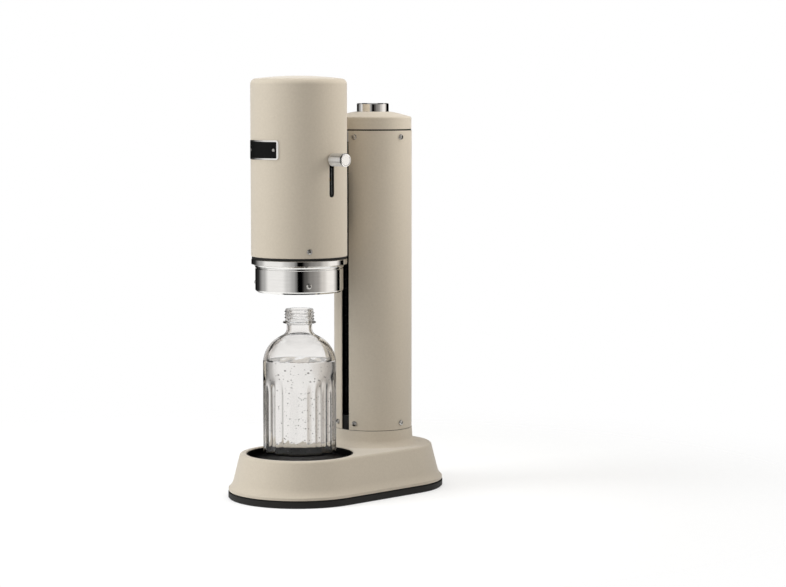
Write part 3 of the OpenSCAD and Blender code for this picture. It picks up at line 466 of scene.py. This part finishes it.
def black_stuff(name, low, high, smooth, dull, scale, depth, shine):
    """Black rubber, plastic or metal, with a fine relief."""
    mat, tree, bsdf = new_finish(name)
    where = place_on_piece(tree)
    speck = grain(tree, where, scale, detail=3)
    colour_between(tree, bsdf, speck, low, high)
    roughness_between(tree, bsdf, speck, smooth, dull)
    relief(tree, bsdf, speck, strength=0.4, depth=depth)
    bsdf.inputs["Specular IOR Level"].default_value = shine
    return mat


def glass_finish(name, ior, clear=0.985):
    """Clear glass or water, with a trace of unevenness in its polish."""
    mat, tree, bsdf = new_finish(name)
    bsdf.inputs["Base Color"].default_value = (clear, clear, clear * 0.998, 1)
    bsdf.inputs["Transmission Weight"].default_value = 1
    bsdf.inputs["IOR"].default_value = ior
    roughness_between(tree, bsdf, grain(tree, place_on_piece(tree), scale=60), 0.0, 0.015)
    return mat


METALS = {
    "plain_steel": dict(low=(0.52, 0.52, 0.53), high=(0.62, 0.62, 0.62), smooth=0.22, dull=0.38, scale=300),
    "screw_steel": dict(low=(0.42, 0.41, 0.39), high=(0.52, 0.51, 0.49), smooth=0.14, dull=0.26, scale=900,
                        depth=0.00002),
    "aluminium": dict(low=(0.6, 0.61, 0.62), high=(0.7, 0.71, 0.72), smooth=0.3, dull=0.45, scale=500,
                      depth=0.00003),
    "rod_chrome": dict(low=(0.7, 0.71, 0.72), high=(0.78, 0.79, 0.8), smooth=0.08, dull=0.16, scale=400,
                       stretch=(1, 1, 0.1)),
    "brass": dict(low=(0.6, 0.43, 0.17), high=(0.7, 0.52, 0.24), smooth=0.22, dull=0.38, scale=400,
                  depth=0.00003),
    "spring_steel": dict(low=(0.14, 0.14, 0.145), high=(0.22, 0.22, 0.23), smooth=0.3, dull=0.45, scale=600),
    "polished_chrome": dict(low=(0.83, 0.82, 0.8), high=(0.87, 0.86, 0.84), smooth=0.03, dull=0.075, scale=60,
                            stretch=(1, 1, 0.15)),
    "bronze": dict(low=(0.36, 0.22, 0.1), high=(0.48, 0.3, 0.14), smooth=0.35, dull=0.5, scale=900),
    "dark_steel": dict(low=(0.03, 0.03, 0.032), high=(0.05, 0.05, 0.052), smooth=0.35, dull=0.5, scale=600),
    "badge_steel": dict(low=(0.74, 0.73, 0.71), high=(0.82, 0.81, 0.79), smooth=0.14, dull=0.26, scale=900,
                        stretch=(0.05, 1, 1)),
    "knob_disc": dict(low=(0.88, 0.87, 0.85), high=(0.95, 0.94, 0.92), smooth=0.2, dull=0.3, scale=500),
    "bubble_skin": dict(low=(0.5, 0.49, 0.47), high=(0.62, 0.61, 0.59), smooth=0.02, dull=0.05, scale=500),
}
BLACKS = {
    "black_rubber": dict(low=(0.014, 0.0135, 0.0125), high=(0.02, 0.019, 0.0175), smooth=0.5, dull=0.7,
                         scale=700, depth=0.0001, shine=0.2),
    "black_plastic": dict(low=(0.0022, 0.0022, 0.0022), high=(0.0034, 0.0034, 0.0032), smooth=0.34, dull=0.5,
                          scale=1200, depth=0.00006, shine=0.03),
    "black_metal": dict(low=(0.006, 0.006, 0.006), high=(0.012, 0.012, 0.011), smooth=0.45, dull=0.6,
                        scale=900, depth=0.00008, shine=0.15),
    "badge_black": dict(low=(0.004, 0.004, 0.004), high=(0.006, 0.006, 0.006), smooth=0.3, dull=0.42,
                        scale=500, depth=0.00002, shine=0.06),
}
# Light that comes in at 1.42 and leaves the wetted inside at 1.065 is bent as by water, at 1.42 / 1.065
GLASSES = {
    "bottle_glass": dict(ior=1.42),
    "wet_glass": dict(ior=1.065),
    "foot_glass": dict(ior=1.0, clear=0.88),
    "water_side": dict(ior=1.0, clear=0.905),
    "water_top": dict(ior=1.333),
}

finishes = {"sand_paint": sand_paint()}
for make, table in ((metal, METALS), (black_stuff, BLACKS), (glass_finish, GLASSES)):
    for finish, look in table.items():
        finishes[finish] = make(finish, **look)
finishes["knob_steel"] = turned_metal("knob_steel", low=(0.86, 0.85, 0.83), high=(0.94, 0.93, 0.91),
                                      smooth=0.34, dull=0.42, axis="X")


def dress(piece, finish):
    piece.data.materials.clear()
    piece.data.materials.append(finishes[finish])


for part in frame["record"]["subparts"]:
    dress(nodes[part["node"]], part["material_slot"])

# The two shells get black painted shade inside, the column all the way up and the head to under its top
COLUMN_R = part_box("column_shell")[1].x
HEAD_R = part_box("head_shell")[1].x
finishes["column_coat_painted_shade"] = coat_with_painted_shade_inside("column_coat_painted_shade", COLUMN, inside=COLUMN_R - 0.8 * MM, top=1)
finishes["head_coat_painted_shade"] = coat_with_painted_shade_inside("head_coat_painted_shade", HEAD, inside=HEAD_R - 0.6 * MM, top=0.45)
dress(nodes["column_shell"], "column_coat_painted_shade")
dress(nodes["head_shell"], "head_coat_painted_shade")
dress(nodes["lower_ring"], "black_metal")


# Ways to make a piece

def set_piece(bm, name, finish, node=None):
    """Makes the finished shape a piece, smooth all over, of one finish or of a list of them."""
    piece = add_object(bm, name)
    piece.data.shade_smooth()
    for each in [finish] if isinstance(finish, str) else finish:
        piece.data.materials.append(finishes[each])
    if node:
        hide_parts(node)
    return piece


def bend(centre, radius, start, stop, steps):
    """Points on an arc of a profile, in millimetres: radius from the axis, then height."""
    turns = [math.radians(start + (stop - start) * i / steps) for i in range(steps + 1)]
    return [(centre[0] + radius * math.cos(a), centre[1] + radius * math.sin(a)) for a in turns]


def rise(radius, low, high, step):
    """Points up or down a straight wall of a profile."""
    count = max(1, round(abs(high - low) / step))
    return [(radius, low + (high - low) * i / count) for i in range(count + 1)]


def metres(place):
    """A place given in millimetres."""
    return tuple(round(value * MM, 6) for value in place)


def turn_profile(profile, steps, axis):
    """Spins a profile that starts and ends on the axis into a closed shape."""
    bm = bmesh.new()
    line = [bm.verts.new((axis.x + r * MM, axis.y, z * MM)) for r, z in profile]
    edges = [bm.edges.new(pair) for pair in zip(line, line[1:])]
    bmesh.ops.spin(bm, geom=line + edges, cent=axis, axis=(0, 0, 1), angle=math.tau, steps=steps,
                   use_merge=True)
    bmesh.ops.remove_doubles(bm, verts=bm.verts, dist=1e-6)
    bmesh.ops.recalc_face_normals(bm, faces=bm.faces)
    return bm


def close_ends(bm):
    """Fills the open ends of wires and tubes, and turns every face outward."""
    bmesh.ops.holes_fill(bm, edges=[e for e in bm.edges if e.is_boundary], sides=0)
    bmesh.ops.recalc_face_normals(bm, faces=bm.faces)


def wind_wire(bm, centre, radius, wire, turns, length, per_turn=20):
    """Winds a round wire about an upright axis, in millimetres, with its ends closed."""
    made = bmesh.ops.create_circle(bm, segments=10, radius=wire * MM)
    ring = made["verts"]
    bmesh.ops.rotate(bm, verts=ring, matrix=Matrix.Rotation(math.pi / 2, 3, "X"))
    first = (centre[0] * MM + radius * MM, centre[1] * MM, (centre[2] + wire) * MM)
    bmesh.ops.translate(bm, verts=ring, vec=first)
    edges = [e for e in bm.edges if all(v in ring for v in e.verts)]
    count = round(turns * per_turn)
    climb = Vector((0, 0, (length - 2 * wire) * MM / count))
    bmesh.ops.spin(bm, geom=ring + edges, cent=Vector(centre) * MM, axis=(0, 0, 1), dvec=climb,
                   angle=math.tau * turns, steps=count)
    close_ends(bm)


# The glass bottle and what is in it, in millimetres: heights above the table, radii from its axis

bottle_low, bottle_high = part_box("glass_bottle")
BODY = round((bottle_high.x - bottle_low.x) / 2 / MM, 2)
FOOT = round(bottle_low.z / MM, 2)
LIP = round(bottle_high.z / MM, 2)
GLASS = 4.5
FLUTES = 14
FLUTE_DEEP = 2
SCOOP = 41.06
HEEL_BEND = 7
HEEL_TOP = FOOT + 7.9
SHOULDER_BEND = 36.5
SHOULDER = (BODY - SHOULDER_BEND, LIP - 66.6)
SHOULDER_TURN = 62
FLUTE_TOP = SHOULDER[1] - 10
NECK, BORE = 15.3, 12.3
NECK_BEND = 9
FILLET = (NECK + NECK_BEND, LIP - 23.84)
RING = LIP - 18.4
FINISH = 16.9
FINISH_LOW, FINISH_HIGH = RING + 4, RING + 17
LIP_BEND = 1.2
WATER = LIP - 61.9
WATER_GAP = 0.12
NEAR = 0.05


def smooth_step(x):
    x = min(1, max(0, x))
    return x * x * (3 - 2 * x)


def flute_depth(turn, z):
    """How far the wall is hollowed at a turn and a height: a round scoop with arched ends."""
    phase, share = 0.25, 0.93
    arch_rise, top_fade = 7, 26
    foot_start, foot_fade = 1, 6
    pitch = math.tau / FLUTES
    off = (turn - phase * pitch + pitch / 2) % pitch - pitch / 2
    half = pitch / 2 * share
    across = abs(off) / half
    if across >= 1:
        return 0
    out = BODY - FLUTE_DEEP + SCOOP
    flat = BODY - (out * math.cos(off) - math.sqrt(SCOOP ** 2 - (out * math.sin(off)) ** 2))
    arch = FLUTE_TOP - arch_rise * (1 - math.sqrt(1 - across ** 2))
    ends = smooth_step((arch - z) / top_fade) * smooth_step((z - FOOT - foot_start) / foot_fade)
    return max(0, flat) * ends


def thread_height(turn, z):
    """The ridge of the screw thread that winds up the neck's finish."""
    pitch, turns, fade_turn = 3.7, 2.75, 0.12
    first = LIP - 13
    ridge = 1.25
    best = 0
    for k in range(math.ceil(turns) + 1):
        along = k + turn / math.tau
        if along > turns:
            continue
        off = abs(z - first - pitch * along)
        if off < ridge:
            fade = smooth_step(along / fade_turn) * smooth_step((turns - along) / fade_turn)
            best = max(best, fade * math.cos(math.pi / 2 * off / ridge) ** 1.4)
    return ridge * best


def bottle_inside(gap):
    """The inner wall from the floor up to the neck, set in by a gap."""
    wall = BODY - GLASS - gap
    bend_r = HEEL_BEND - gap
    return (
        [(0, FOOT + 9.6 + gap), (10, FOOT + 9.3 + gap), (20, FOOT + 8.5 + gap)]
        + bend((wall - bend_r, FOOT + 15), bend_r, -90, 0, 10)
        + rise(wall, FOOT + 18, SHOULDER[1] - 3, 3)
        + bend(SHOULDER, SHOULDER_BEND - GLASS - gap, 0, SHOULDER_TURN, 18)
    )


def bottle_profile():
    """The outer wall from the foot up over the lip, then the inner wall down to the floor."""
    neck_turn = 180 + SHOULDER_TURN
    foot = [(0, FOOT + 1.6), (14, FOOT + 1.4), (27, FOOT + 0.7), (33, FOOT)]
    # The rows are close where the flutes begin and end, and wide between
    body = (
        bend((BODY - HEEL_BEND, FOOT + HEEL_BEND), HEEL_BEND, -80, 0, 9)
        + rise(BODY, HEEL_TOP, HEEL_TOP + 12, 1)
        + rise(BODY, HEEL_TOP + 15, HEEL_TOP + 63, 3)
        + rise(BODY, HEEL_TOP + 64, HEEL_TOP + 100, 1)
    )
    shoulder = bend(SHOULDER, SHOULDER_BEND, -4, SHOULDER_TURN, 22)[2:]
    neck = bend(FILLET, NECK_BEND, neck_turn, 180, 10)
    ring = [
        (NECK, RING), (NECK + 0.3, RING + 0.5), (18.6, RING + 0.8), (19.6, RING + 1.15), (20.1, RING + 1.8),
        (20, RING + 2.5), (19.3, RING + 3.1), (17.6, RING + 3.6),
    ]
    finish = rise(FINISH, FINISH_LOW, FINISH_HIGH, 0.36)
    lip = (
        bend((FINISH - LIP_BEND, LIP - LIP_BEND), LIP_BEND, 10, 90, 5)
        + bend((BORE + LIP_BEND, LIP - LIP_BEND), LIP_BEND, 90, 180, 5)
    )
    bore = rise(BORE, LIP - 3.6, FILLET[1], 2.4)
    under_neck = bend(FILLET, NECK_BEND + NECK - BORE, 180, neck_turn, 10)
    return foot + body + shoulder + neck + ring + finish + lip + bore + under_neck + bottle_inside(0)[::-1]


def make_bottle():
    """The bottle with its flutes and thread, of plain glass, of wetted glass and of its thick foot."""
    bm = turn_profile(bottle_profile(), FLUTES * 16, HEAD)
    for v in bm.verts:
        out = Vector((v.co.x - HEAD.x, v.co.y - HEAD.y))
        r, z = out.length / MM, v.co.z / MM
        turn = math.atan2(out.y, out.x) % math.tau
        on_body = r > BODY - NEAR or r > BODY - 5.9 and z < HEEL_TOP
        move = 0
        if on_body and FOOT < z < FLUTE_TOP:
            move = -flute_depth(turn, z)
        elif abs(r - FINISH) < NEAR and FINISH_LOW - 0.2 < z < FINISH_HIGH + 0.1:
            move = thread_height(turn, z)
        if move:
            new = out * ((r + move) / r)
            v.co.x, v.co.y = HEAD.x + new.x, HEAD.y + new.y
    plain_side, wet_side, foot_side = range(3)
    for f in bm.faces:
        f.material_index = plain_side
        c = f.calc_center_median()
        inside = (Vector((c.x, c.y)) - HEAD.xy).length < (BODY - GLASS + 0.2) * MM
        if c.z < (FOOT + 9) * MM or inside and c.z < (FOOT + 14) * MM:
            f.material_index = foot_side
        elif inside and c.z < WATER * MM:
            f.material_index = wet_side
    piece = set_piece(bm, "fluted_bottle", ["bottle_glass", "wet_glass", "foot_glass"], "glass_bottle")
    piece.visible_shadow = False
    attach(piece, "bottle")


def make_water():
    """The water just inside the glass, with its edge drawn up where it meets the wall."""
    climb = 0.9
    inside = [p for p in bottle_inside(WATER_GAP) if p[1] < WATER - 0.4]
    reach = SHOULDER_BEND - GLASS - WATER_GAP
    edge = SHOULDER[0] + math.sqrt(reach ** 2 - (WATER + climb - SHOULDER[1]) ** 2)
    top = [
        (edge, WATER + climb), (edge - 0.7, WATER + 0.35), (edge - 1.8, WATER + 0.08), (edge - 4, WATER),
        (20, WATER), (0, WATER),
    ]
    bm = turn_profile(inside + top, 96, HEAD)
    side_face, top_face = range(2)
    for f in bm.faces:
        on_top = f.normal.z > 0.35 and f.calc_center_median().z > (WATER - 0.2) * MM
        f.material_index = top_face if on_top else side_face
    piece = set_piece(bm, "water", ["water_side", "water_top"])
    piece.visible_shadow = False
    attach(piece, "bottle")


def make_bubbles():
    """Bubbles that cling to the glass, rise through the water and gather at its top."""
    clinging, rising, gathered = 220, 50, 70
    cling_low, cling_high = 62, 160
    rise_low, rise_high, rise_out = 70, 165, 34
    smallest, largest = 0.35, 0.85
    inner = BODY - GLASS
    chance = random.Random(7)
    bm = bmesh.new()
    for i in range(clinging + rising + gathered):
        turn = chance.uniform(0, math.tau)
        if i < clinging:
            z = chance.uniform(cling_low, cling_high)
            r = inner - 1.2
        elif i < clinging + rising:
            z = chance.uniform(rise_low, rise_high)
            r = chance.uniform(0, rise_out)
        else:
            z = WATER - 0.7
            r = chance.uniform(20, inner - 2.6)
        size = chance.uniform(smallest, largest) * MM
        at = Vector((r * math.cos(turn), r * math.sin(turn), z)) * MM + HEAD
        place = Matrix.Translation(at)
        bmesh.ops.create_uvsphere(bm, u_segments=8, v_segments=5, radius=size, matrix=place)
    piece = set_piece(bm, "bubbles", "bubble_skin")
    piece.visible_shadow = False
    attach(piece, "bottle")


# Springs, leaf and hose inside, and the knob

def make_springs():
    """The wound springs, each from its seat in millimetres."""
    lift_seat = (0, 33, 92)
    bm = bmesh.new()
    for side in (-18, 18):
        wind_wire(bm, (side, *lift_seat[1:]), radius=6.4, wire=0.8, turns=20, length=226)
    lift = set_piece(bm, "lift_springs_wound", "dark_steel", "lift_springs")
    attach(lift, "base")
    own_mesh(lift)

    x, low, high = 50, 420.5, 440
    bm = bmesh.new()
    for side in (-7.5, 7.5):
        wind_wire(bm, (x, HEAD_Y + side, low), radius=3, wire=0.4, turns=8, length=high - low)
    lever = set_piece(bm, "lever_springs_wound", "spring_steel", "lever_springs")
    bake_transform(lever)

    column_top = round(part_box("column_shell")[1].z / MM, 2)
    button_seat = (0, COLUMN_Y, column_top)
    bm = bmesh.new()
    wind_wire(bm, button_seat, radius=14, wire=0.35, turns=2, length=6.2, per_turn=32)
    button = set_piece(bm, "button_spring_wound", "spring_steel", "button_spring")
    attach(button, "base")
    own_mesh(button)

    valve_seat = (19.8, HEAD_Y, 454)
    bm = bmesh.new()
    wind_wire(bm, (0, 0, 0), radius=5.2, wire=0.45, turns=4, length=10.2)
    bmesh.ops.rotate(bm, verts=bm.verts, matrix=Matrix.Rotation(math.pi / 2, 3, "Y"))
    bmesh.ops.translate(bm, verts=bm.verts, vec=metres(valve_seat))
    valve = set_piece(bm, "valve_spring_wound", "spring_steel", "valve_spring")
    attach(valve, "head")
    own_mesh(valve)


def make_latch_leaf():
    """The flat spring of the latch, held at its foot."""
    low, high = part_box("latch_spring")
    bm = bmesh.new()
    bmesh.ops.create_cube(bm, size=1)
    bmesh.ops.scale(bm, vec=high - low, verts=bm.verts)
    bmesh.ops.translate(bm, vec=(low + high) / 2, verts=bm.verts)
    upright = [e for e in bm.edges if abs((e.verts[0].co - e.verts[1].co).z) > 0.01]
    bmesh.ops.subdivide_edges(bm, edges=upright, cuts=9, use_grid_fill=True)
    leaf = set_piece(bm, "latch_leaf", "spring_steel", "latch_spring")
    leaf.data.shade_flat()
    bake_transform(leaf)


def make_hose():
    """The gas hose from the cylinder's valve, down to a loop and up to the carriage."""
    port_turn = math.radians(211.4)
    hose_r, bend_r = 2 * MM, 16 * MM
    stub, climb, low = 2.9 * MM, 107 * MM, 0.211
    cylinder_off, elbow_z, port_reach = 13 * MM, 0.368, 22 * MM
    port = Vector((math.cos(port_turn), math.sin(port_turn), 0))
    up = Vector((0, 0, 1))
    elbow = COLUMN + Vector((0, cylinder_off, elbow_z)) + port * port_reach
    leg = elbow + port * bend_r
    foot = Vector((leg.x, leg.y, low))
    fitting = Vector((-0.003, 0.0365, low))
    middle = (foot + fitting) / 2
    across = (fitting - foot).normalized().cross(up)

    def start_ring(at, along):
        bm = bmesh.new()
        turn = along.to_track_quat("Z", "Y").to_matrix().to_4x4()
        made = bmesh.ops.create_circle(bm, segments=12, radius=hose_r, matrix=Matrix.Translation(at) @ turn)
        return bm, made["verts"] + bm.edges[:]

    def lead_on(bm, geom, steps, centre=(0, 0, 0), axis=up, angle=0, step=(0, 0, 0)):
        led = bmesh.ops.spin(bm, geom=geom, cent=centre, axis=axis, angle=angle, dvec=step, steps=steps)
        return led["geom_last"]

    def end_hose(bm, name):
        close_ends(bm)
        piece = set_piece(bm, name, "black_rubber", "gas_hose")
        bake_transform(piece)

    bm, ring = start_ring(elbow + up * bend_r - port * stub, port)
    ring = lead_on(bm, ring, 1, step=port * stub)
    ring = lead_on(bm, ring, 10, elbow, up.cross(port), math.pi / 2)
    lead_on(bm, ring, 24, step=(foot - leg) / 24)
    end_hose(bm, "hose_drop")

    bm, ring = start_ring(foot, -up)
    lead_on(bm, ring, 20, middle, across, math.pi)
    end_hose(bm, "hose_loop")

    bm, ring = start_ring(fitting, up)
    lead_on(bm, ring, 24, step=up * climb / 24)
    end_hose(bm, "hose_rise")


def make_knob():
    """The lever's knob, turned in one piece, with the groove behind its end disc painted black as painted
    shade.
    """
    low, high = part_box("lever_knob")
    length, widest = (high.x - low.x) / MM, (high.z - low.z) / 2 / MM
    barrel, groove = widest - 0.3, widest - 1.5
    disc = length - 1.1
    cut = disc - 1.8
    profile = [
        (0, 0), (barrel - 0.9, 0), (barrel, 0.9), (barrel, cut - 0.3), (barrel - 0.3, cut), (groove, cut),
        (groove, disc), (barrel, disc), (widest, disc + 0.3), (widest, length - 0.6), (widest - 0.6, length),
        (widest - 1.4, length), (widest - 1.8, length - 0.3), (0, length - 0.3),
    ]
    bm = turn_profile(profile, 64, Vector((0, 0, 0)))
    # The groove's faces take the black plastic finish, as painted shade in the groove behind the end disc
    barrel_face, groove_shade_slot, disc_face = range(3)
    hair = 1e-5
    for f in bm.faces:
        f.material_index = barrel_face
        c = f.calc_center_median()
        if c.z > disc * MM + hair:
            f.material_index = disc_face
        elif c.z > cut * MM - hair:
            f.material_index = groove_shade_slot
    turn = Matrix.Rotation(math.pi / 2, 4, "Y")
    place = Matrix.Translation((low.x, (low.y + high.y) / 2, (low.z + high.z) / 2))
    bmesh.ops.transform(bm, matrix=place @ turn, verts=bm.verts)
    knob = set_piece(bm, "turned_knob", ["knob_steel", "black_plastic", "knob_disc"], "lever_knob")
    knob.data.set_sharp_from_angle(angle=math.radians(30))
    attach(knob, "lever")


make_bottle()
make_water()
make_bubbles()
make_springs()
make_latch_leaf()
make_hose()
make_knob()
